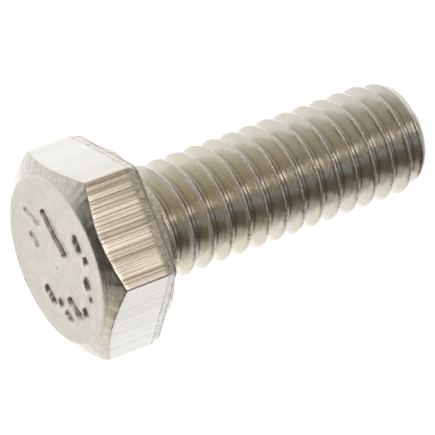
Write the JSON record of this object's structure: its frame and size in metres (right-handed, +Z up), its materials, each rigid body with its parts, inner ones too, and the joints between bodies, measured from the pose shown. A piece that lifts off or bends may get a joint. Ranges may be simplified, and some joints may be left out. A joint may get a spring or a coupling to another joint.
{
  "type": "hex bolt",
  "caption": "Stainless steel hex head bolt with a chamfered head, a raised washer face and a coarse thread rolled up to the head.",
  "frame": {"origin": "on the bolt's axis, in the plane of the bearing face under the head", "axes": "+X along the axis from the head to the tip; +Z up with the bolt lying on its side, so that one flat of the head faces -Z and the opposite one faces +Z; +Y completes the right-handed frame and passes through a corner of the head"},
  "size_m": [0.0266, 0.0144, 0.0126],
  "materials": {
    "stainless_steel": "plain drawn and rolled stainless steel, satin, with fine axial scratches on the head's flats"
  },
  "bodies": {
    "root": {"hex_bolt": "stainless_steel"}
  },
  "joints": []
}
